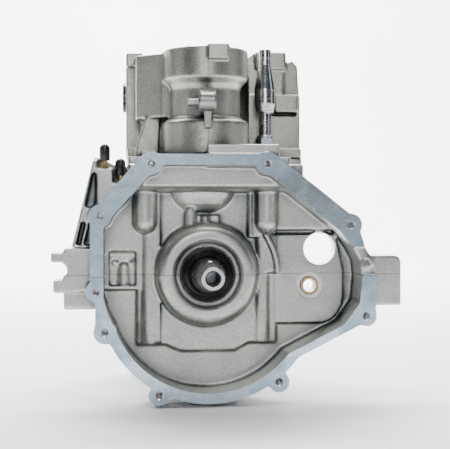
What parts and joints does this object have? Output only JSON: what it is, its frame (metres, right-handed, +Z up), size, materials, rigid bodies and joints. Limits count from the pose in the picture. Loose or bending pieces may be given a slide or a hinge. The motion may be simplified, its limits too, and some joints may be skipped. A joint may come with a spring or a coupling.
{
  "type": "manual transmission",
  "caption": "Manual gearbox with split cast case, bell housing, tapered input shaft, sliding synchroniser sleeves, selector tower and output flange.",
  "frame": {"origin": "on the input shaft's axis, in the bell housing's front face", "axes": "+Y back along the shafts towards the output, +Z up, +X to the right seen from the bell's open side"},
  "size_m": [0.361, 0.31, 0.372],
  "materials": {
    "cast_aluminium": "fine-grained sand casting, machined faces bright",
    "gasket": "pressed fibre sheet",
    "painted_steel": "dark satin coating",
    "brass": "turned",
    "zinc_steel": "zinc plated",
    "ground_steel": "ground and polished",
    "black_rubber": "smooth black rubber",
    "bronze": "turned bronze",
    "gear_steel": "hardened and ground"
  },
  "bodies": {
    "case": {"lower_case": "cast_aluminium", "upper_case": "cast_aluminium", "selector_tower": "cast_aluminium", "tower_gasket": "gasket", "top_cover": "cast_aluminium", "sump_cover": "painted_steel", "drain_plug": "brass", "filler_plug": "brass", "rear_retainer": "cast_aluminium", "m6_bolts": "zinc_steel", "case_bolts": "zinc_steel", "dowel_pins": "ground_steel", "side_cap": "black_rubber", "clip_bracket": "painted_steel", "input_seal": "black_rubber", "output_seal": "black_rubber", "input_bearing_outer": "ground_steel", "output_bearing_outer": "ground_steel", "counter_bearing_outers": "ground_steel", "bronze_bush": "bronze", "hose_nipples": "brass", "nipple_caps": "black_rubber", "gland_nut": "zinc_steel", "idler_shaft": "ground_steel", "detent_plugs": "zinc_steel", "detent_balls": "ground_steel"},
    "input": {"input_shaft": "gear_steel", "input_bearing_inner": "ground_steel", "input_bearing_balls": "ground_steel", "pilot_bush": "bronze"},
    "counter": {"countershaft": "gear_steel", "counter_gears": "gear_steel", "counter_bearing_inners": "ground_steel", "counter_bearing_balls": "ground_steel"},
    "main": {"mainshaft": "gear_steel", "output_bearing_inner": "ground_steel", "output_bearing_balls": "ground_steel", "hub_34": "gear_steel", "hub_12": "gear_steel", "hub_reverse": "gear_steel", "baulk_rings": "bronze", "output_flange": "gear_steel", "output_nut": "zinc_steel"},
    "gear_3": {"third_gear": "gear_steel"},
    "gear_2": {"second_gear": "gear_steel"},
    "gear_1": {"first_gear": "gear_steel"},
    "gear_r": {"reverse_gear": "gear_steel"},
    "idler": {"reverse_idler": "gear_steel"},
    "ring_34": {"sleeve_34": "gear_steel"},
    "ring_12": {"sleeve_12": "gear_steel"},
    "ring_r": {"sleeve_reverse": "gear_steel"},
    "shift_34": {"rail_34": "ground_steel", "fork_34": "bronze"},
    "shift_12": {"rail_12": "ground_steel", "fork_12": "bronze"},
    "shift_r": {"rail_reverse": "ground_steel", "fork_reverse": "bronze"},
    "selector": {"selector_shaft": "ground_steel", "selector_finger": "gear_steel"}
  },
  "joints": [
    {"name": "input_spin", "type": "hinge", "parent": "case", "child": "input", "pos_m": [0, 0, 0], "axis": [0, 1, 0], "continuous": true},
    {"name": "counter_spin", "type": "hinge", "parent": "case", "child": "counter", "pos_m": [0, 0, -0.07], "axis": [0, 1, 0], "continuous": true},
    {"name": "output_spin", "type": "hinge", "parent": "case", "child": "main", "pos_m": [0, 0, 0], "axis": [0, 1, 0], "continuous": true},
    {"name": "third_spin", "type": "hinge", "parent": "case", "child": "gear_3", "pos_m": [0, 0, 0], "axis": [0, 1, 0], "continuous": true},
    {"name": "second_spin", "type": "hinge", "parent": "case", "child": "gear_2", "pos_m": [0, 0, 0], "axis": [0, 1, 0], "continuous": true},
    {"name": "first_spin", "type": "hinge", "parent": "case", "child": "gear_1", "pos_m": [0, 0, 0], "axis": [0, 1, 0], "continuous": true},
    {"name": "reverse_spin", "type": "hinge", "parent": "case", "child": "gear_r", "pos_m": [0, 0, 0], "axis": [0, 1, 0], "continuous": true},
    {"name": "idler_spin", "type": "hinge", "parent": "case", "child": "idler", "pos_m": [-0.04144, 0, -0.04679], "axis": [0, 1, 0], "continuous": true},
    {"name": "selector_turn", "type": "hinge", "parent": "case", "child": "selector", "pos_m": [0.0675, 0.084, 0], "axis": [0, 0, 1], "range_deg": [-14.1, 14.1]},
    {"name": "rail_34_slide", "type": "slide", "parent": "case", "child": "shift_34", "axis": [0, 1, 0], "range_m": [-0.007, 0.007]},
    {"name": "sleeve_34_slide", "type": "slide", "parent": "main", "child": "ring_34", "axis": [0, 1, 0], "range_m": [-0.007, 0.007]},
    {"name": "rail_12_slide", "type": "slide", "parent": "case", "child": "shift_12", "axis": [0, 1, 0], "range_m": [-0.007, 0.007]},
    {"name": "sleeve_12_slide", "type": "slide", "parent": "main", "child": "ring_12", "axis": [0, 1, 0], "range_m": [-0.007, 0.007]},
    {"name": "rail_reverse_slide", "type": "slide", "parent": "case", "child": "shift_r", "axis": [0, 1, 0], "range_m": [-0.007, 0]},
    {"name": "sleeve_reverse_slide", "type": "slide", "parent": "main", "child": "ring_r", "axis": [0, 1, 0], "range_m": [-0.007, 0]}
  ],
  "couplings": [
    {"joint": "counter_spin", "follows": "input_spin", "ratio": -0.55556},
    {"joint": "third_spin", "follows": "input_spin", "ratio": 0.68889},
    {"joint": "second_spin", "follows": "input_spin", "ratio": 0.48148},
    {"joint": "first_spin", "follows": "input_spin", "ratio": 0.30864},
    {"joint": "idler_spin", "follows": "input_spin", "ratio": 0.5},
    {"joint": "reverse_spin", "follows": "input_spin", "ratio": -0.33333},
    {"joint": "selector_turn", "follows": "rail_34_slide", "rad_per_m": -35},
    {"joint": "sleeve_34_slide", "follows": "rail_34_slide", "ratio": 1},
    {"joint": "sleeve_12_slide", "follows": "rail_12_slide", "ratio": 1},
    {"joint": "sleeve_reverse_slide", "follows": "rail_reverse_slide", "ratio": 1}
  ]
}
